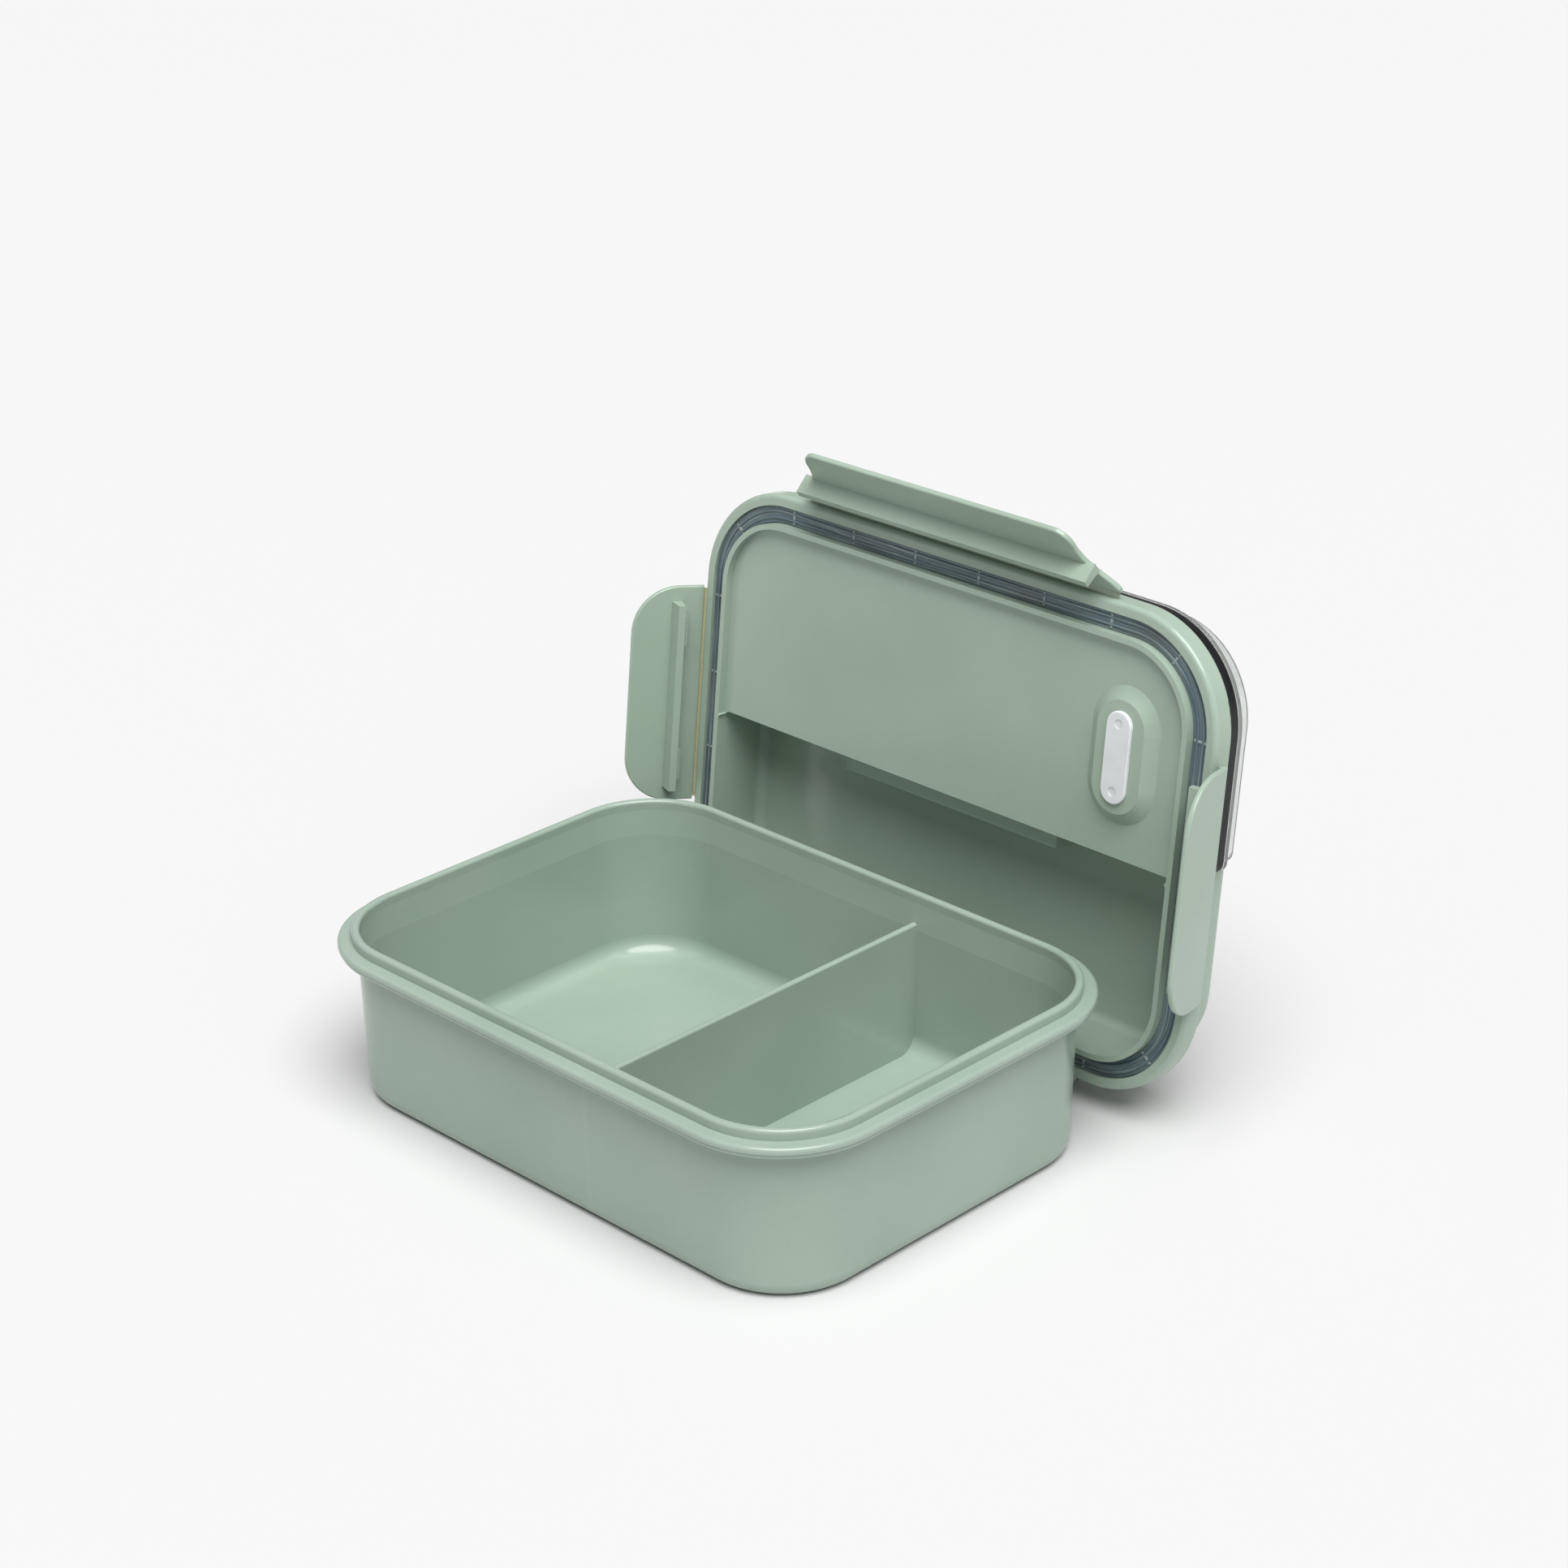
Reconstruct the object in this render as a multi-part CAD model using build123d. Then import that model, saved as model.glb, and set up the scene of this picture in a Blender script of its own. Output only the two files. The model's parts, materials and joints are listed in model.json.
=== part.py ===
"""Lunch box with a clip lid, shown open: the tub stands on the table and the lid stands behind it.

Axes: +Z up, X along the long side, -Y the long front side.  The origin is the middle of the tub's
underside.  All sizes are in millimetres and all angles in degrees.

The lid and its pieces are drawn in the lid's own frame (X along the lid, Y up its short side, Z out
of its inner face, zero at the rim's seat) and then stood up behind the tub by stand().
"""
from build123d import *
import math
import os

# ---------------------------------------------------------------- overall sizes
LENGTH = 215.0            # clip flange, along X
WIDTH = 156.0             # clip flange, along Y
HEIGHT = 57.0             # tub, foot to the top of the lip
CORNER_R = 35.0           # flange corner, seen from above
FIT = 0.3                 # clearance between pieces that move past or rest on each other

# ---------------------------------------------------------------- tub
WALL = 2.0                # tub wall and floor
WALL_TOP_INSET = 6.0      # wall face behind the flange edge, at the flange
WALL_FOOT_INSET = 7.4     # wall face behind the flange edge, at the foot
FOOT_ROUND = 5.0          # rounding where the wall meets the underside
FLOOR_ROUND = 6.0         # the same inside
LIP_INSET = 4.4           # lip's outer face behind the flange edge
LIP_THICK = 2.7
LIP_RISE = 3.4            # lip top above the flange's upper face
LIP_CROWN = 1.1           # rounding on both edges of the lip
MOUTH_DEPTH = 12.0        # the mouth widens from here up to the lip
FLANGE_THICK = 4.0
FLANGE_ROUND = 1.2
FLANGE_BAND = 0.5         # step of the lower band under the parting line
DIVIDER_X = 20.0          # divider's middle plane
DIVIDER_THICK = 2.2
DIVIDER_DROP = 10.0       # divider top below the lip top
DIVIDER_CROWN = 0.8

# ---------------------------------------------------------------- lid moulding
RIM_INSET = 0.4           # rim edge behind the flange edge
RIM_THICK = 8.0           # rim, from its seat on the flange to its outer face
RIM_ROUND = 1.6
LID_SKIN = 2.2
GROOVE_WIDTH = 5.9        # gasket groove
GROOVE_DEPTH = 5.6
PLUG_WALL = 1.8           # thin wall inside the groove, which drops inside the tub's lip
PLUG_RISE = 1.9           # plug wall edge past the rim's seat
PLUG_ROUND = 0.5
SHELF_DROP = 1.0          # shelf face below the rim's seat
DEEP_DROP = 21.5          # inner face of the deep half below the rim's seat
SHELF_EDGE_Y = -2.0       # shelf edge, from the lid's middle
DOME_INSET = 7.5          # dome's side face behind the flange edge
DOME_ROUND = 4.0
DEEP_ROUND = 3.0
MID_LEDGE = 6.0           # ledge along the middle that carries the cover's seal

# ---------------------------------------------------------------- finger recess and steam vent
RECESS_HALF = 45.0        # finger recess housing, half its length
RECESS_DEPTH = 8.0        # housing past the shelf edge
RECESS_TOP = 8.0          # housing face below the rim's seat
RECESS_SKIN = 1.8
RECESS_ROUND = 1.5
VENT_FROM_END = 34.5      # vent's middle line behind the flange edge at the lid's end
VENT_OFF_MIDDLE = -1.1    # vent's middle above the middle of the shelf
VENT_LONG = 29.5
VENT_WIDE = 9.5
BOSS_LONG = 44.0
BOSS_WIDE = 26.0
BOSS_RISE = 3.0
BOSS_BEVEL = 4.0
VENT_HEAD = 1.2           # plug head's thickness
VENT_HEAD_ROUND = 0.5
VENT_SEAT_GAP = 0.1       # plug head above the boss it closes
VENT_STEM_INSET = 1.8     # stem's side behind the head's edge
DIMPLE_R = 1.5
DIMPLE_DEPTH = 0.3
DIMPLE_END = 4.0          # dimple's middle, from the head's end

# ---------------------------------------------------------------- lid gasket
GASKET_GAP = 0.2          # gasket to the groove's side faces
GASKET_THICK = 4.4
RIDGE_R = 0.5             # raised ridges that run round the gasket
RIDGE_ROUND = 0.4
RIDGE_PLACES = (0.3, 0.7) # ridge middles, as shares of the gasket's width

# ---------------------------------------------------------------- clear cover and its seal
SEAL_INSET = 1.6          # seal and cover edge behind the flange edge
SEAL_WIDE = 3.5
SEAL_THICK = 4.0
COVER_SKIN = 1.6
COVER_WALL_INSET = 3.6    # cover's side wall behind the flange edge, at its own flange
COVER_BACK_INSET = 5.9    # the same at its outer face
COVER_ROUND = 3.0
MID_CORNER_R = 3.0        # cover corners along the lid's middle
TAB_HALF = 12.0
TAB_LONG = 5.0

# ---------------------------------------------------------------- clips
CLIP_LONG = 25.0          # hinge axis to the free edge
CLIP_THICK = 1.8
CLIP_EDGE_ROUND = 0.6
CLIP_HINGE_OUT = 2.0      # hinge axis outside the flange edge
CLIP_HINGE_DROP = 2.6     # hinge axis below the rim's seat
CLIP_ROOT = 0.75          # flap starts this far from the hinge axis
CLIP_END_LONG = 7.5       # hinge line stops this far before the flange corner, long sides
CLIP_END_SHORT = 5.0      # the same on the short sides
CLIP_FLARE_LONG = 10.0    # long sides: how much narrower each end is at its round corner
CLIP_CORNER_LONG = 6.0    # round corner at the free edge
CLIP_FLARE_SHORT = 0.0    # the same on the short sides
CLIP_CORNER_SHORT = 16.0
CLIP_TIP = 1.0            # blunt end of the flap beside the hinge
CATCH_REACH = 5.6         # catch rib's height above the flap's inner face
CATCH_WIDE = 2.4          # catch rib's crest
CATCH_FOOT = 1.0          # extra width at the rib's foot
CATCH_END = 5.2           # rib end inside the hinge line's end
PAD_THICK = 1.2           # the two thicker pads on the rib's catching face
PAD_HALF_LONG = 9.0
PAD_HALF_SHORT = 5.2
PAD_PLACE = 0.72          # pad's middle, as a share of the rib's half length
FILM_THICK = 0.6
FILM_END = 1.0            # film ends this far inside the hinge line's end
FILM_BEAD_R = 0.45

# ---------------------------------------------------------------- the pose on the table
LID_LEAN = 6.3            # the standing lid leans back from upright
LID_SHIFT_X = 10.0
LID_STAND_Y = 81.5        # rim's seat at the bottom edge of the standing lid
CLIP_ANGLES = {"front": 42.0, "back": -104.0, "left": 62.0, "right": 76.0}
TABLE_GAP = 0.1           # lowest point of the standing lid above the table

# ---------------------------------------------------------------- sizes that follow
FLANGE_TOP = HEIGHT - LIP_RISE
FLANGE_FOOT = FLANGE_TOP - FLANGE_THICK
GROOVE_INSET = LIP_INSET - FIT
PLUG_INSET = GROOVE_INSET + GROOVE_WIDTH
POCKET_INSET = PLUG_INSET + PLUG_WALL
DOME_BACK = DEEP_DROP + LID_SKIN
MID_WALL_Y = SHELF_EDGE_Y + LID_SKIN
VENT_X = LENGTH / 2 - VENT_FROM_END
VENT_Y = (SHELF_EDGE_Y + WIDTH / 2 - POCKET_INSET) / 2 + VENT_OFF_MIDDLE
CLIP_HALF_LONG = LENGTH / 2 - CORNER_R - CLIP_END_LONG
CLIP_HALF_SHORT = WIDTH / 2 - CORNER_R - CLIP_END_SHORT
CATCH_NEAR = CLIP_HINGE_DROP + FIT + FLANGE_THICK + FIT
CATCH_CREST = CLIP_THICK / 2 + CATCH_REACH
SEAL_BACK = RIM_THICK + SEAL_THICK
COVER_FLANGE = SEAL_BACK + FIT
PAST = 1.0                # cutters run this far past what they cut
FLAT_TOL = 0.01           # edges within this of a height count as lying at it


# ---------------------------------------------------------------- outlines and simple bodies
def outline(inset):
    """The box's plan outline, drawn in from the flange edge."""
    return RectangleRounded(LENGTH - 2 * inset, WIDTH - 2 * inset, CORNER_R - inset)


def slab(inset, low, high):
    return extrude(Pos(0, 0, low) * outline(inset), high - low)


def drafted(inset_low, low, inset_high, high):
    return loft([Pos(0, 0, low) * outline(inset_low), Pos(0, 0, high) * outline(inset_high)])


def ring(inset_out, inset_in, low, high):
    return slab(inset_out, low, high) - slab(inset_in, low - PAST, high + PAST)


def half_outline(inset, edge_y, corner_r, upper=True):
    """The part of the plan outline above or below the line y = edge_y, its new corners rounded."""
    reach = WIDTH
    middle = edge_y + reach / 2 if upper else edge_y - reach / 2
    sketch = outline(inset) & Pos(0, middle) * Rectangle(2 * LENGTH, reach)
    corners = sketch.vertices().sort_by(Axis.Y)
    return fillet(corners[:2] if upper else corners[-2:], corner_r)


def half_slab(inset, edge_y, corner_r, low, high, upper=True):
    return extrude(Pos(0, 0, low) * half_outline(inset, edge_y, corner_r, upper), high - low)


def pill(long, wide):
    """A slot shape that stands along Y."""
    return Rot(Z=90) * SlotOverall(long, wide)


def edges_at(body, height):
    """The edges that lie flat at one height."""
    return body.edges().filter_by_position(Axis.Z, height - FLAT_TOL, height + FLAT_TOL)


# ---------------------------------------------------------------- tub
def make_tub():
    outer = drafted(WALL_FOOT_INSET, 0, WALL_TOP_INSET, FLANGE_FOOT + PAST)
    outer = fillet(edges_at(outer, 0), FOOT_ROUND)
    band_top = FLANGE_FOOT + FLANGE_THICK / 2
    flange = slab(0, band_top, FLANGE_TOP)
    flange = fillet(edges_at(flange, FLANGE_TOP), FLANGE_ROUND)
    band = slab(FLANGE_BAND, FLANGE_FOOT, band_top)
    band = fillet(edges_at(band, FLANGE_FOOT), FLANGE_ROUND)
    lip = slab(LIP_INSET, FLANGE_FOOT, HEIGHT)
    body = outer + band + flange + lip

    mouth_foot = HEIGHT - MOUTH_DEPTH
    mouth_inset = LIP_INSET + LIP_THICK
    flare = drafted(WALL_TOP_INSET + WALL, mouth_foot, mouth_inset, FLANGE_TOP)
    mouth = flare + slab(mouth_inset, FLANGE_TOP, HEIGHT + PAST)
    hollow = drafted(WALL_FOOT_INSET + WALL, WALL, WALL_TOP_INSET + WALL, mouth_foot + PAST)
    hollow = fillet(edges_at(hollow, WALL), FLOOR_ROUND)
    tub = body - hollow - mouth
    tub = fillet(edges_at(tub, HEIGHT), LIP_CROWN)

    top = HEIGHT - DIVIDER_DROP
    plate = Pos(DIVIDER_X, 0, top / 2) * Box(DIVIDER_THICK, WIDTH, top)
    crown = plate.edges().filter_by(Axis.Y).sort_by(Axis.Z)[-2:]
    plate = fillet(crown, DIVIDER_CROWN)
    return tub + (plate & outer)


# ---------------------------------------------------------------- lid moulding, in the lid's frame
def make_lid():
    rim = slab(RIM_INSET, -RIM_THICK, 0)
    rim = fillet(edges_at(rim, 0) + edges_at(rim, -RIM_THICK), RIM_ROUND)
    plug = slab(PLUG_INSET, -RIM_THICK, PLUG_RISE)
    dome = half_slab(DOME_INSET, MID_WALL_Y, MID_CORNER_R, -DOME_BACK, -RIM_THICK + PAST, upper=False)
    dome = fillet(edges_at(dome, -DOME_BACK), DOME_ROUND)
    groove = ring(GROOVE_INSET, PLUG_INSET, -GROOVE_DEPTH, PAST)
    shell = rim + dome - groove + plug

    shelf_room = half_slab(POCKET_INSET, SHELF_EDGE_Y - PAST, PLUG_ROUND, -SHELF_DROP, PLUG_RISE + PAST)
    deep_room = half_slab(
        POCKET_INSET, SHELF_EDGE_Y, MID_CORNER_R, -DEEP_DROP, PLUG_RISE + PAST, upper=False
    )
    deep_room = fillet(edges_at(deep_room, -DEEP_DROP), DEEP_ROUND)
    back_room = half_slab(
        POCKET_INSET, MID_LEDGE, MID_CORNER_R, -RIM_THICK - PAST, -SHELF_DROP - LID_SKIN
    )
    shell = shell - shelf_room - deep_room - back_room

    housing_y = SHELF_EDGE_Y - RECESS_DEPTH
    housing = Pos(0, (housing_y + SHELF_EDGE_Y) / 2, -(RECESS_TOP + DOME_BACK) / 2) * Box(
        2 * RECESS_HALF, RECESS_DEPTH, DOME_BACK - RECESS_TOP
    )
    front_edges = housing.edges().filter_by(Axis.X).sort_by(Axis.Y)[:2]
    housing = fillet(front_edges.sort_by(Axis.Z)[-1:], RECESS_ROUND)
    notch_low = housing_y + RECESS_SKIN
    notch_high = MID_WALL_Y + PAST
    notch_top = RECESS_TOP + RECESS_SKIN
    notch = Pos(0, (notch_low + notch_high) / 2, -(notch_top + DOME_BACK + PAST) / 2) * Box(
        2 * (RECESS_HALF - RECESS_SKIN), notch_high - notch_low, DOME_BACK + PAST - notch_top
    )
    shell = shell + housing - notch

    boss = Pos(VENT_X, VENT_Y, 0) * loft([
        Pos(0, 0, -SHELF_DROP) * pill(BOSS_LONG, BOSS_WIDE),
        Pos(0, 0, BOSS_RISE - SHELF_DROP) * pill(BOSS_LONG - 2 * BOSS_BEVEL, BOSS_WIDE - 2 * BOSS_BEVEL),
    ])
    stem_gap = VENT_STEM_INSET - FIT
    hole = Pos(VENT_X, VENT_Y, -SHELF_DROP - LID_SKIN - PAST) * extrude(
        pill(VENT_LONG - 2 * stem_gap, VENT_WIDE - 2 * stem_gap), BOSS_RISE + LID_SKIN + 2 * PAST
    )
    return shell + boss - hole


def make_vent_plug():
    seat = BOSS_RISE - SHELF_DROP
    head = extrude(Pos(0, 0, seat + VENT_SEAT_GAP) * pill(VENT_LONG, VENT_WIDE), VENT_HEAD)
    crest = seat + VENT_SEAT_GAP + VENT_HEAD
    head = fillet(edges_at(head, crest), VENT_HEAD_ROUND)
    stem_foot = -SHELF_DROP - LID_SKIN
    stem = extrude(
        Pos(0, 0, stem_foot) * pill(VENT_LONG - 2 * VENT_STEM_INSET, VENT_WIDE - 2 * VENT_STEM_INSET),
        seat + PAST - stem_foot,
    )
    plug = head + stem
    for side in (-1, 1):
        place = side * (VENT_LONG / 2 - DIMPLE_END)
        plug -= Pos(0, place, crest) * Cylinder(DIMPLE_R, 2 * DIMPLE_DEPTH)
    return Pos(VENT_X, VENT_Y, 0) * plug


def make_gasket():
    inset_out = GROOVE_INSET + GASKET_GAP
    inset_in = PLUG_INSET - GASKET_GAP
    face = -GROOVE_DEPTH + GASKET_THICK
    gasket = ring(inset_out, inset_in, -GROOVE_DEPTH, face)
    for share in RIDGE_PLACES:
        middle = inset_out + share * (inset_in - inset_out)
        ridge = ring(middle - RIDGE_R, middle + RIDGE_R, face - PAST / 2, face + RIDGE_R)
        gasket += fillet(edges_at(ridge, face + RIDGE_R), RIDGE_ROUND)
    return gasket


# ---------------------------------------------------------------- clear cover and its seal
def make_seal():
    outer = half_slab(SEAL_INSET, MID_WALL_Y + FIT, MID_CORNER_R, -SEAL_BACK, -RIM_THICK)
    inner_edge = MID_WALL_Y + FIT + SEAL_WIDE
    inner = half_slab(
        SEAL_INSET + SEAL_WIDE, inner_edge, MID_CORNER_R, -SEAL_BACK - PAST, -RIM_THICK + PAST
    )
    return outer - inner


def make_cover():
    edge = MID_WALL_Y + FIT
    flange_back = COVER_FLANGE + COVER_SKIN
    flange = half_slab(SEAL_INSET, edge, MID_CORNER_R, -flange_back, -COVER_FLANGE)
    body = loft([
        Pos(0, 0, -DOME_BACK) * half_outline(COVER_BACK_INSET, edge, MID_CORNER_R),
        Pos(0, 0, -COVER_FLANGE) * half_outline(COVER_WALL_INSET, edge, MID_CORNER_R),
    ])
    body = fillet(edges_at(body, -DOME_BACK), COVER_ROUND)
    room_edge = edge + COVER_SKIN
    room = loft([
        Pos(0, 0, COVER_SKIN - DOME_BACK)
        * half_outline(COVER_BACK_INSET + COVER_SKIN, room_edge, MID_CORNER_R),
        Pos(0, 0, PAST - COVER_FLANGE)
        * half_outline(COVER_WALL_INSET + COVER_SKIN, room_edge, MID_CORNER_R),
    ])
    tab = Pos(0, edge - TAB_LONG / 2 + PAST, -flange_back + COVER_SKIN / 2) * Box(
        2 * TAB_HALF, TAB_LONG + 2 * PAST, COVER_SKIN
    )
    tab = fillet(tab.edges().filter_by(Axis.Z).sort_by(Axis.Y)[:2], MID_CORNER_R)
    return flange + body + tab - room


# ---------------------------------------------------------------- clips, hinge axis along X at zero
def clip_side(half, flare, corner):
    """One end of the flap: a blunt tip, a curved taper and a round corner at the free edge."""
    waist = half - flare
    shoulder = (waist, CLIP_LONG - corner)
    tip_out = (half, CLIP_ROOT + CLIP_TIP)
    away = (-flare, shoulder[1] - tip_out[1])
    return [
        Line((half, CLIP_ROOT), tip_out),
        Spline(tip_out, shoulder, tangents=(away, (0, 1))),
        RadiusArc(shoulder, (waist - corner, CLIP_LONG), -corner),
    ]


def make_clip(half, flare, corner, pad_half):
    side = clip_side(half, flare, corner)
    tip_half = half - flare - corner
    free_edge = Line((tip_half, CLIP_LONG), (-tip_half, CLIP_LONG))
    root = Line((-half, CLIP_ROOT), (half, CLIP_ROOT))
    plan = make_face(Curve() + side + [mirror(piece, Plane.YZ) for piece in side] + [free_edge, root])
    flap = extrude(Pos(0, 0, -CLIP_THICK / 2) * plan, CLIP_THICK)
    rounded = [
        edge for edge in flap.edges().filter_by(Plane.XY) if edge.center().Y > CLIP_ROOT + FLAT_TOL
    ]
    flap = fillet(rounded, CLIP_EDGE_ROUND)

    near = CATCH_NEAR + PAD_THICK
    far = near + CATCH_WIDE
    rib_half = half - CATCH_END
    section = Polyline(
        (near - CATCH_FOOT, 0), (near, CLIP_THICK), (near, CATCH_CREST), (far, CATCH_CREST),
        (far + CATCH_FOOT, 0), close=True,
    )
    rib = extrude(Plane.YZ * make_face(section), rib_half, both=True)
    pad_box = Box(2 * pad_half, PAD_THICK + PAST, CATCH_REACH - PAD_THICK)
    for side in (-1, 1):
        place = side * rib_half * PAD_PLACE
        pad_y = CATCH_NEAR + (PAD_THICK + PAST) / 2
        rib += Pos(place, pad_y, CLIP_THICK / 2 + (CATCH_REACH - PAD_THICK) / 2) * pad_box
    return flap + rib


def make_film(half):
    """The thin web from the rim edge to the hinge axis, in the clip's frame."""
    reach = CLIP_HINGE_OUT + RIM_INSET
    web = Pos(0, -reach / 2, 0) * Box(2 * (half - FILM_END), reach, FILM_THICK)
    bead = Rot(Y=90) * Cylinder(FILM_BEAD_R, 2 * (half - FILM_END))
    return web + bead


def clip_seat(side):
    """Where a clip's hinge axis sits on the lid, as a location in the lid's frame."""
    turn = {"front": 0, "left": 90, "back": 180, "right": -90}[side]
    reach = (WIDTH if side in ("front", "back") else LENGTH) / 2 + CLIP_HINGE_OUT
    return Rot(Z=turn) * Pos(0, reach, -CLIP_HINGE_DROP)


# ---------------------------------------------------------------- standing the lid up
def lid_rise():
    """Height of the rim's bottom edge that keeps the folded back clip just above the table."""
    lean = math.radians(LID_LEAN)
    fold = math.radians(CLIP_ANGLES["back"])
    crest_y = CATCH_NEAR + PAD_THICK
    out = CLIP_HINGE_OUT + crest_y * math.cos(fold) - CATCH_CREST * math.sin(fold)
    inward = -CLIP_HINGE_DROP + crest_y * math.sin(fold) + CATCH_CREST * math.cos(fold)
    return TABLE_GAP + out * math.cos(lean) - inward * math.sin(lean)


def stand():
    """The lid's frame, standing on its back edge behind the tub and leaning back."""
    foot = Pos(LID_SHIFT_X, LID_STAND_Y, lid_rise())
    return foot * Rot(X=90 - LID_LEAN) * Pos(0, WIDTH / 2, 0)


# ---------------------------------------------------------------- build and save
def build():
    place = stand()
    parts = {
        "base_tub": make_tub(),
        "lid_shell": place * make_lid(),
        "lid_gasket": place * make_gasket(),
        "vent_plug": place * make_vent_plug(),
        "cover_seal": place * make_seal(),
        "cover_window": place * make_cover(),
    }
    long_clip = make_clip(CLIP_HALF_LONG, CLIP_FLARE_LONG, CLIP_CORNER_LONG, PAD_HALF_LONG)
    short_clip = make_clip(CLIP_HALF_SHORT, CLIP_FLARE_SHORT, CLIP_CORNER_SHORT, PAD_HALF_SHORT)
    for side, angle in CLIP_ANGLES.items():
        if side in ("front", "back"):
            half, clip = CLIP_HALF_LONG, long_clip
        else:
            half, clip = CLIP_HALF_SHORT, short_clip
        seat = place * clip_seat(side)
        parts["latch_" + side] = seat * Rot(X=angle) * clip
        parts["film_hinge_" + side] = seat * make_film(half)
    return parts


os.makedirs("parts", exist_ok=True)
for name, shape in build().items():
    export_step(shape, "parts/" + name + ".step")
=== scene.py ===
"""Lunch box, open, with its clip lid standing behind the tub: looks, studio and camera."""
import bpy
import json
import math
from mathutils import Matrix, Vector


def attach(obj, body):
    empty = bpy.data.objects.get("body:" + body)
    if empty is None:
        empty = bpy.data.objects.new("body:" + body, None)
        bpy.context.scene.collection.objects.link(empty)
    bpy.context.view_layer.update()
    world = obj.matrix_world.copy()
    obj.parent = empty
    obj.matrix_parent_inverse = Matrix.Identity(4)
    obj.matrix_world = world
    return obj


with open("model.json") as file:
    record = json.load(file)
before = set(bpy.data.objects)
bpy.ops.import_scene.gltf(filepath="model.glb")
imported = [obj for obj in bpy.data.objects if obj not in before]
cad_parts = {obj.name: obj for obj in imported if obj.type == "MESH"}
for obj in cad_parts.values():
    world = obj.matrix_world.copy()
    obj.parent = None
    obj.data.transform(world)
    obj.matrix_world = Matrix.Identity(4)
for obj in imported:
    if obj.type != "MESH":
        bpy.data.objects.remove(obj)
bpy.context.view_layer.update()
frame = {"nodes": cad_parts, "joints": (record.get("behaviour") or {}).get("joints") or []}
MM = 0.001

# ------------------------------------------------------------------ places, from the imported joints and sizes
JOINTS = {joint["name"]: joint for joint in frame["joints"]}
SIDES = ("front", "back", "left", "right")
HINGES = {side: Vector(JOINTS["latch_" + side + "_fold"]["pos_m"]) for side in SIDES}
HINGE_DROP = 2.6 * MM                 # clip hinges behind the rim's seat
HINGE_OUT = 2.0 * MM                  # clip hinges outside the flange edge
LID_OUT = Vector(JOINTS["vent_pull"]["axis"]).normalized()
LID_UP = (HINGES["front"] - HINGES["back"]).normalized()
LID_MIDDLE = (HINGES["front"] + HINGES["back"]) / 2 + LID_OUT * HINGE_DROP
LID_PLACE = Matrix.Translation(LID_MIDDLE) @ Matrix(((1, 0, 0), LID_UP, LID_OUT)).transposed().to_4x4()
LID_TURN = math.atan2(LID_UP.z, LID_UP.y)
HALF_LONG = (HINGES["right"] - HINGES["left"]).length / 2 - HINGE_OUT
HALF_WIDE = (HINGES["front"] - HINGES["back"]).length / 2 - HINGE_OUT
CORNER = 35.0 * MM                    # flange corner
GASKET_MIDDLE = 7.05 * MM             # gasket's centre line behind the flange edge
GASKET_FACE = 1.2 * MM                # gasket's face below the rim's seat
DIVIDER_X = 20.0 * MM
WALL_OUT = 69.0 * MM                  # the tub's long walls lie outside this
FLANGE_FOOT = 49.0 * MM


# ------------------------------------------------------------------ small helpers
def linear(code):
    """An sRGB hex colour as linear red, green, blue and alpha."""
    parts = [int(code[i:i + 2], 16) / 255 for i in (1, 3, 5)]
    return [c / 12.92 if c <= 0.04045 else ((c + 0.055) / 1.055) ** 2.4 for c in parts] + [1.0]


def add(tree, kind, values=None, links=None, out=0, stops=(), **settings):
    """Adds one node with its settings, values, links and colour stops, and gives one of its outputs."""
    made = tree.nodes.new(kind)
    for name, value in settings.items():
        setattr(made, name, value)
    for socket, value in (values or {}).items():
        made.inputs[socket].default_value = value
    for socket, source in (links or {}).items():
        tree.links.new(source, made.inputs[socket])
    for number, (at, code) in enumerate(stops):
        marks = made.color_ramp.elements
        mark = marks[number] if number < 2 else marks.new(at)
        mark.position = at
        mark.color = linear(code)
    return made.outputs[out]


def start(name, **values):
    """A new material: its node tree, and its Object coordinates.  Constant values sit on the shader itself."""
    material = bpy.data.materials.new(name)
    material.use_nodes = True
    tree = material.node_tree
    for socket, value in values.items():
        tree.nodes["Principled BSDF"].inputs[socket.replace("_", " ")].default_value = value
    return material, tree, add(tree, "ShaderNodeTexCoord", out="Object")


def finish(material, tree, colour, roughness, bump):
    """Links the patterns into the shader."""
    shader = tree.nodes["Principled BSDF"]
    tree.links.new(colour, shader.inputs["Base Color"])
    tree.links.new(roughness, shader.inputs["Roughness"])
    tree.links.new(bump, shader.inputs["Normal"])
    return material


def in_lid(tree, place):
    """Object coordinates turned into the lid's own frame: X along it, Y up it, Z out of its inner face."""
    return add(
        tree, "ShaderNodeMapping", {"Location": LID_MIDDLE, "Rotation": (LID_TURN, 0, 0)}, {"Vector": place},
        vector_type="TEXTURE",
    )


def rim_inset(tree, place):
    """Distance in from the rim's outer edge, so that a pattern can run round the rim."""
    straight = (HALF_LONG - CORNER, HALF_WIDE - CORNER, 1.0)
    near = add(tree, "ShaderNodeVectorMath", {}, {0: place}, operation="ABSOLUTE")
    past = add(tree, "ShaderNodeVectorMath", {1: straight}, {0: near}, operation="SUBTRACT")
    past = add(tree, "ShaderNodeVectorMath", {1: (0, 0, 0)}, {0: past}, operation="MAXIMUM")
    reach = add(tree, "ShaderNodeVectorMath", {}, {0: past}, out="Value", operation="LENGTH")
    return add(tree, "ShaderNodeMath", {0: CORNER}, {1: reach}, operation="SUBTRACT")


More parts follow.
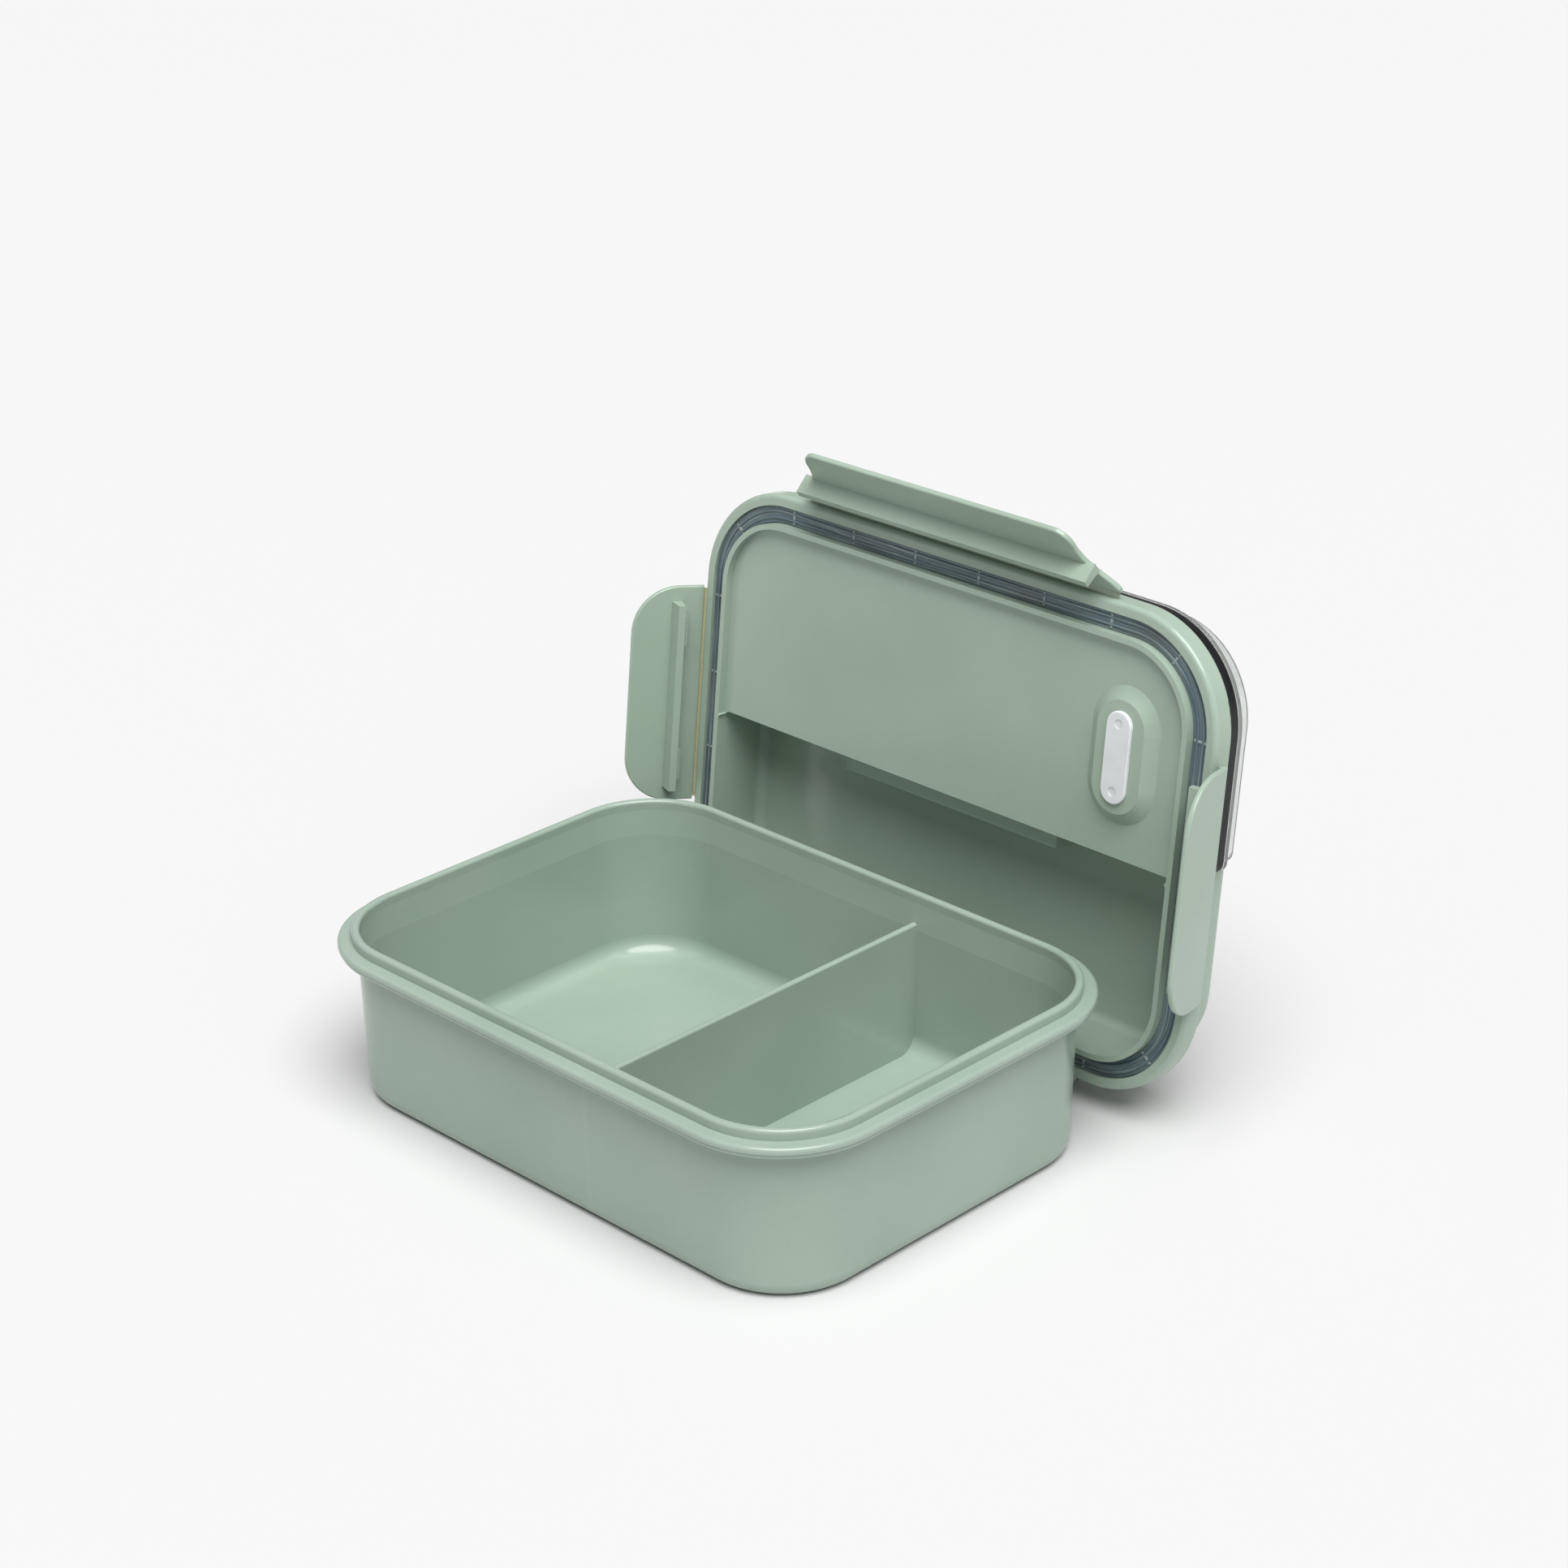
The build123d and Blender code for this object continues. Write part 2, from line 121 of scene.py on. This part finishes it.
# ------------------------------------------------------------------ materials
def moulded_pp(name, tints, sink_mark=False):
    """Injection-moulded polypropylene in sage green: a satin gloss that shows soft reflections, slow
    unevenness where the melt flowed, and the fine grain of the mould."""
    material, tree, place = start(name, IOR=1.49)
    flow = add(
        tree, "ShaderNodeTexNoise", {"Scale": 1 / 0.055, "Detail": 2.0, "Roughness": 0.45}, {"Vector": place}
    )
    colour = add(tree, "ShaderNodeValToRGB", {}, {"Fac": flow}, stops=tints)
    # the pigment's mottle is finer than 1 mm; drawn at 3 mm so that it shows
    speck = add(tree, "ShaderNodeTexNoise", {"Scale": 1 / 0.003, "Detail": 1.0}, {"Vector": place})
    speck = add(
        tree, "ShaderNodeMapRange", {"From Min": 0.35, "From Max": 0.75, "To Min": 0.0, "To Max": 0.05},
        {"Value": speck},
    )
    colour = add(tree, "ShaderNodeMix", {7: linear("#7B9182")}, {0: speck, 6: colour}, out=2, data_type="RGBA")
    polish = add(tree, "ShaderNodeTexNoise", {"Scale": 1 / 0.018, "Detail": 3.0}, {"Vector": place})
    roughness = add(
        tree, "ShaderNodeMapRange", {"From Min": 0.3, "From Max": 0.7, "To Min": 0.14, "To Max": 0.22},
        {"Value": polish},
    )
    # the mould's polish leaves waves some 25 mm long, and its grain is 0.3 mm, drawn at 2.5 mm
    wave = add(tree, "ShaderNodeTexNoise", {"Scale": 1 / 0.025, "Detail": 1.0}, {"Vector": place})
    bump = add(tree, "ShaderNodeBump", {"Strength": 0.5, "Distance": 0.00012}, {"Height": wave})
    grain = add(tree, "ShaderNodeTexNoise", {"Scale": 1 / 0.0025, "Detail": 1.0}, {"Vector": place})
    bump = add(
        tree, "ShaderNodeBump", {"Strength": 0.3, "Distance": 0.00001}, {"Height": grain, "Normal": bump}
    )
    if sink_mark:
        colour, bump = divider_sink(tree, place, colour, bump)
    return finish(material, tree, colour, roughness, bump)


def divider_sink(tree, place, colour, bump):
    """The faint upright sink mark that the divider leaves on the outside of both long walls: a dip in the
    bump, with a faint painted highlight along it in the colour.
    """
    along = add(tree, "ShaderNodeSeparateXYZ", {}, {"Vector": place}, out="X")
    across = add(tree, "ShaderNodeSeparateXYZ", {}, {"Vector": place}, out="Y")
    height = add(tree, "ShaderNodeSeparateXYZ", {}, {"Vector": place}, out="Z")
    off = add(tree, "ShaderNodeMath", {1: DIVIDER_X}, {0: along}, operation="SUBTRACT")
    off = add(tree, "ShaderNodeMath", {}, {0: off}, operation="ABSOLUTE")
    mark = add(
        tree, "ShaderNodeMapRange", {"From Min": 0.0002, "From Max": 0.0016, "To Min": 1.0, "To Max": 0.0},
        {"Value": off}, interpolation_type="SMOOTHSTEP",
    )
    side = add(tree, "ShaderNodeMath", {}, {0: across}, operation="ABSOLUTE")
    side = add(tree, "ShaderNodeMath", {1: WALL_OUT}, {0: side}, operation="GREATER_THAN")
    below = add(tree, "ShaderNodeMath", {1: FLANGE_FOOT}, {0: height}, operation="LESS_THAN")
    mark = add(tree, "ShaderNodeMath", {}, {0: mark, 1: side}, operation="MULTIPLY")
    mark = add(tree, "ShaderNodeMath", {}, {0: mark, 1: below}, operation="MULTIPLY")
    # painted highlight: the sink mark's dip is drawn a little paler in the colour
    faint = add(tree, "ShaderNodeMath", {1: 0.06}, {0: mark}, operation="MULTIPLY")
    colour = add(tree, "ShaderNodeMix", {7: linear("#B4C4B6")}, {0: faint, 6: colour}, out=2, data_type="RGBA")
    bump = add(
        tree, "ShaderNodeBump", {"Strength": 0.5, "Distance": 0.00003}, {"Height": mark, "Normal": bump},
        invert=True,
    )
    return colour, bump


def smoky_silicone(name, stops):
    """Translucent silicone, smoky blue-grey and dark, with drawn-out lines along its length; its pale
    colour stops paint a wet highlight along each ridge."""
    material, tree, place = start(name, IOR=1.41, Transmission_Weight=0.12)
    place = in_lid(tree, place)
    inset = rim_inset(tree, place)
    across = add(tree, "ShaderNodeMath", {1: 1 / 0.0009}, {0: inset}, operation="MULTIPLY")
    slow = add(tree, "ShaderNodeVectorMath", {1: (1 / 0.03, 1 / 0.03, 0)}, {0: place}, operation="MULTIPLY")
    drawn = add(tree, "ShaderNodeCombineXYZ", {}, {"Z": across})
    drawn = add(tree, "ShaderNodeVectorMath", {}, {0: drawn, 1: slow}, operation="ADD")
    streak_and_sheen = add(
        tree, "ShaderNodeTexNoise", {"Scale": 1.0, "Detail": 3.0, "Roughness": 0.6}, {"Vector": drawn}
    )
    # the pale stops of this ramp are a painted wet highlight along the drawn-out lines
    colour = add(tree, "ShaderNodeValToRGB", {}, {"Fac": streak_and_sheen}, stops=stops)
    cloud = add(tree, "ShaderNodeTexNoise", {"Scale": 1 / 0.022, "Detail": 2.0}, {"Vector": place})
    warm = add(
        tree, "ShaderNodeMapRange", {"From Min": 0.48, "From Max": 0.75, "To Min": 0.0, "To Max": 0.5},
        {"Value": cloud},
    )
    colour = add(tree, "ShaderNodeMix", {7: linear("#67655F")}, {0: warm, 6: colour}, out=2, data_type="RGBA")
    roughness = add(
        tree, "ShaderNodeMapRange", {"From Min": 0.3, "From Max": 0.7, "To Min": 0.14, "To Max": 0.3},
        {"Value": streak_and_sheen},
    )
    bump = add(tree, "ShaderNodeBump", {"Strength": 0.5, "Distance": 0.00005}, {"Height": streak_and_sheen})
    return finish(material, tree, colour, roughness, bump)


def white_silicone():
    """White moulded silicone: matt and slightly waxy, milky where light soaks in, with a dusty bloom."""
    material, tree, place = start(
        "moulded silicone, white", IOR=1.41, Subsurface_Weight=0.2, Subsurface_Scale=0.0015,
        Subsurface_Radius=(1.0, 1.0, 1.0),
    )
    bloom = add(tree, "ShaderNodeTexNoise", {"Scale": 1 / 0.008, "Detail": 3.0}, {"Vector": place})
    colour = add(tree, "ShaderNodeValToRGB", {}, {"Fac": bloom}, stops=[(0.3, "#D3D6D9"), (0.7, "#DEE0E2")])
    roughness = add(
        tree, "ShaderNodeMapRange", {"From Min": 0.3, "From Max": 0.7, "To Min": 0.34, "To Max": 0.46},
        {"Value": bloom},
    )
    grain = add(tree, "ShaderNodeTexNoise", {"Scale": 1 / 0.0006, "Detail": 1.0}, {"Vector": place})
    bump = add(tree, "ShaderNodeBump", {"Strength": 0.3, "Distance": 0.00001}, {"Height": grain})
    return finish(material, tree, colour, roughness, bump)


def black_silicone():
    """Black moulded silicone: deep black with a soft sheen and faint lines drawn along it."""
    material, tree, place = start("moulded silicone, black", IOR=1.41)
    place = in_lid(tree, place)
    long_lines = add(tree, "ShaderNodeVectorMath", {1: (0.05, 0.05, 1.0)}, {0: place}, operation="MULTIPLY")
    lines = add(tree, "ShaderNodeTexNoise", {"Scale": 1 / 0.0008, "Detail": 2.0}, {"Vector": long_lines})
    colour = add(tree, "ShaderNodeValToRGB", {}, {"Fac": lines}, stops=[(0.3, "#08090A"), (0.7, "#141618")])
    roughness = add(
        tree, "ShaderNodeMapRange", {"From Min": 0.3, "From Max": 0.7, "To Min": 0.34, "To Max": 0.5},
        {"Value": lines},
    )
    bump = add(tree, "ShaderNodeBump", {"Strength": 0.4, "Distance": 0.00002}, {"Height": lines})
    return finish(material, tree, colour, roughness, bump)


def clear_copolyester():
    """Clear moulded copolyester: glassy and colourless, with slow ripples and hairline scuffs.  A little of it
    is left white, a painted pale sheen, and its IOR is below the usual 1.56, so that its thin edges read pale."""
    # the share left untransmitted is white: a painted pale sheen standing in for the cover's reflections
    material, tree, place = start("moulded copolyester, clear", IOR=1.47, Transmission_Weight=0.88)
    ripple = add(tree, "ShaderNodeTexNoise", {"Scale": 1 / 0.03, "Detail": 2.0}, {"Vector": place})
    colour = add(tree, "ShaderNodeValToRGB", {}, {"Fac": ripple}, stops=[(0.3, "#F6F9F7"), (0.7, "#FDFEFD")])
    hairs = add(tree, "ShaderNodeVectorMath", {1: (0.12, 1.0, 1.0)}, {0: place}, operation="MULTIPLY")
    scuff = add(
        tree, "ShaderNodeTexNoise", {"Scale": 1 / 0.0012, "Detail": 3.0, "Roughness": 0.7}, {"Vector": hairs}
    )
    roughness = add(
        tree, "ShaderNodeMapRange", {"From Min": 0.45, "From Max": 0.8, "To Min": 0.01, "To Max": 0.1},
        {"Value": scuff},
    )
    bump = add(tree, "ShaderNodeBump", {"Strength": 0.25, "Distance": 0.0001}, {"Height": ripple})
    return finish(material, tree, colour, roughness, bump)


def hinge_film(name, stops, clear):
    """Polypropylene stretched thin at a living hinge: silky and lined along the fold.  The straw colour of
    daylight coming through it is painted light, put into the colour of the backlit copy."""
    material, tree, place = start(name, IOR=1.49, Transmission_Weight=clear)
    lines = add(tree, "ShaderNodeTexNoise", {"Scale": 1 / 0.0006, "Detail": 2.0}, {"Vector": place})
    colour = add(tree, "ShaderNodeValToRGB", {}, {"Fac": lines}, stops=stops)
    roughness = add(
        tree, "ShaderNodeMapRange", {"From Min": 0.3, "From Max": 0.7, "To Min": 0.28, "To Max": 0.42},
        {"Value": lines},
    )
    bump = add(tree, "ShaderNodeBump", {"Strength": 0.4, "Distance": 0.00002}, {"Height": lines})
    return finish(material, tree, colour, roughness, bump)


def dress(material, *names):
    """Gives CAD nodes their finish."""
    for name in names:
        for slot in frame["nodes"][name].material_slots:
            slot.material = material


# the gasket's top colour stops are pale: a painted wet highlight along its drawn-out lines
gasket_grey = smoky_silicone(
    "translucent silicone, smoky", [(0.25, "#4C5E65"), (0.46, "#60737A"), (0.6, "#7F8E91"), (0.74, "#AAB3B3")]
)
# the cross ribs get a paler copy of the gasket's silicone: a painted highlight where the raised ribs catch the
# light
rib_painted_highlight = smoky_silicone(
    "translucent silicone, painted highlight at the cross ribs", [(0.25, "#8A9698"), (0.5, "#9CA6A7"), (0.75, "#B4BBBA")]
)
tub_green = [(0.3, "#8EA092"), (0.52, "#93A497"), (0.75, "#98A89B")]
# the lid's green is the tub's green painted a little lighter: painted light standing in for the stronger light
# on the lid's inner face
lid_green_painted_lighter = [(0.3, "#97A999"), (0.52, "#9CAE9F"), (0.75, "#A1B2A4")]
dress(moulded_pp("moulded PP, sage green, tub", tub_green, sink_mark=True), "base_tub")
dress(moulded_pp("moulded PP, sage green, lid, painted lighter", lid_green_painted_lighter), "lid_shell", *["latch_" + side for side in HINGES])
dress(gasket_grey, "lid_gasket")
dress(white_silicone(), "vent_plug")
dress(black_silicone(), "cover_seal")
dress(clear_copolyester(), "cover_window")
# the left hinge's straw colour is painted light: the glow of daylight through the film, painted into its
# colour
dress(
    hinge_film("living-hinge PP film, painted backlit straw", [(0.3, "#DCD2A2"), (0.7, "#ECE4C0")], 0.25), "film_hinge_left"
)
dress(
    hinge_film("living-hinge PP film", [(0.3, "#93A48F"), (0.7, "#A3B29C")], 0.1),
    "film_hinge_front", "film_hinge_back", "film_hinge_right",
)


# ------------------------------------------------------------------ gasket cross ribs
RIB_PITCH = 26.6 * MM
RIB_LONG = 4.8 * MM
RIB_WIDE = 0.9 * MM
RIB_HIGH = 0.7 * MM
RIB_ROUND = 0.22 * MM
RIB_START = 0.35                      # first rib, as a share of the pitch from the start of the ring


def on_ring(distance):
    """A place on the gasket's centre line, in the lid's frame, and the way the line runs there."""
    radius = CORNER - GASKET_MIDDLE
    half = (HALF_LONG - CORNER, HALF_WIDE - CORNER)
    runs = [2 * half[0], 2 * half[1]] * 2
    quarter = math.pi * radius / 2
    starts = [(-1, -1), (1, -1), (1, 1), (-1, 1)]
    for number, run in enumerate(runs):
        way = math.radians(90 * number)
        ahead = Vector((math.cos(way), math.sin(way), 0))
        outward = Vector((math.sin(way), -math.cos(way), 0))
        corner = Vector((starts[number][0] * half[0], starts[number][1] * half[1], 0))
        if distance <= run:
            return corner + outward * radius + ahead * distance, way
        distance -= run
        if distance <= quarter:
            turn = distance / radius
            middle = corner + ahead * run
            return middle + outward * radius * math.cos(turn) + ahead * radius * math.sin(turn), way + turn
        distance -= quarter
    return on_ring(distance)


def gasket_ribs():
    """Small moulded ribs across the gasket, evenly spaced round it."""
    bpy.ops.object.select_all(action="DESELECT")
    bpy.ops.mesh.primitive_cube_add(size=1.0)
    first = bpy.context.object
    first.data.transform(Matrix.Diagonal((RIB_WIDE, RIB_LONG, RIB_HIGH, 1)))
    bpy.ops.object.mode_set(mode="EDIT")
    bpy.ops.mesh.select_all(action="SELECT")
    bpy.ops.mesh.bevel(offset=RIB_ROUND, segments=3, affect="EDGES")
    bpy.ops.object.mode_set(mode="OBJECT")
    around = 4 * (HALF_LONG + HALF_WIDE - 2 * CORNER) + 2 * math.pi * (CORNER - GASKET_MIDDLE)
    count = round(around / RIB_PITCH)
    ribs = []
    for number in range(count):
        spot, way = on_ring(around * (number + RIB_START) / count)
        stand = Matrix.Translation(spot - Vector((0, 0, GASKET_FACE))) @ Matrix.Rotation(way, 4, "Z")
        mesh = first.data.copy()
        mesh.transform(LID_PLACE @ stand)
        rib = bpy.data.objects.new("gasket_rib", mesh)
        bpy.context.scene.collection.objects.link(rib)
        ribs.append(rib)
    bpy.data.objects.remove(first)
    bpy.ops.object.select_all(action="DESELECT")
    for rib in ribs:
        rib.select_set(True)
    bpy.context.view_layer.objects.active = ribs[0]
    bpy.ops.object.join()
    joined = bpy.context.object
    joined.name = "gasket_cross_ribs"
    bpy.ops.object.shade_smooth_by_angle(angle=math.radians(40))
    joined.data.materials.clear()
    joined.data.materials.append(rib_painted_highlight)
    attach(joined, "lid")


# ------------------------------------------------------------------ studio: floor, light, camera
FLOOR_SIZE = 40.0
AIR_STRENGTH = 0.28
LIGHTS = (                            # name, towards the light, its spread in degrees, its strength
    ("overhead light", (0.36, -0.25, 1.0), 50.0, 4.22),
    ("right fill", (1.0, -0.35, 0.35), 60.0, 0.2),
)


def studio():
    """A pale floor, even air, a broad light overhead and a weak one from the right."""
    bpy.ops.object.select_all(action="DESELECT")
    bpy.ops.mesh.primitive_plane_add(size=FLOOR_SIZE)
    floor = bpy.context.object
    floor.name = "floor"
    material, tree = start("paper sweep, off-white", Roughness=0.75, Specular_IOR_Level=0.1)[:2]
    tree.nodes["Principled BSDF"].inputs["Base Color"].default_value = linear("#CECECE")
    floor.data.materials.append(material)

    world = bpy.data.worlds.new("studio air")
    bpy.context.scene.world = world
    world.use_nodes = True
    air = world.node_tree.nodes["Background"]
    air.inputs["Color"].default_value = linear("#FFFFFF")
    air.inputs["Strength"].default_value = AIR_STRENGTH

    for name, aim, angle, strength in LIGHTS:
        light = bpy.data.lights.new(name, "SUN")
        light.energy = strength
        light.angle = math.radians(angle)
        lamp = bpy.data.objects.new(name, light)
        bpy.context.scene.collection.objects.link(lamp)
        lamp.location = Vector(aim)
        lamp.rotation_mode = "QUATERNION"
        lamp.rotation_quaternion = Vector(aim).to_track_quat("Z", "Y")


CAMERA_PLACE = (0.68366, -0.65540, 0.53697)
CAMERA_TURN = (44.82, 24.19, -0.70)   # azimuth, elevation and roll, in degrees
CAMERA_LENS = 79.58
CAMERA_SENSOR = 36.0


def camera():
    """The camera, looking down at the box from its front right corner."""
    azimuth, elevation, roll = (math.radians(angle) for angle in CAMERA_TURN)
    back = Vector((
        math.sin(azimuth) * math.cos(elevation), -math.cos(azimuth) * math.cos(elevation), math.sin(elevation)
    ))
    right = Vector((math.cos(azimuth), math.sin(azimuth), 0))
    right = right * math.cos(roll) + back.cross(right) * math.sin(roll)
    up = back.cross(right)
    data = bpy.data.cameras.new("camera")
    data.lens = CAMERA_LENS
    data.sensor_width = CAMERA_SENSOR
    made = bpy.data.objects.new("camera", data)
    bpy.context.scene.collection.objects.link(made)
    made.matrix_world = Matrix.Translation(CAMERA_PLACE) @ Matrix((right, up, back)).transposed().to_4x4()
    bpy.context.scene.camera = made


gasket_ribs()
studio()
camera()
bpy.context.scene.view_settings.view_transform = "Standard"
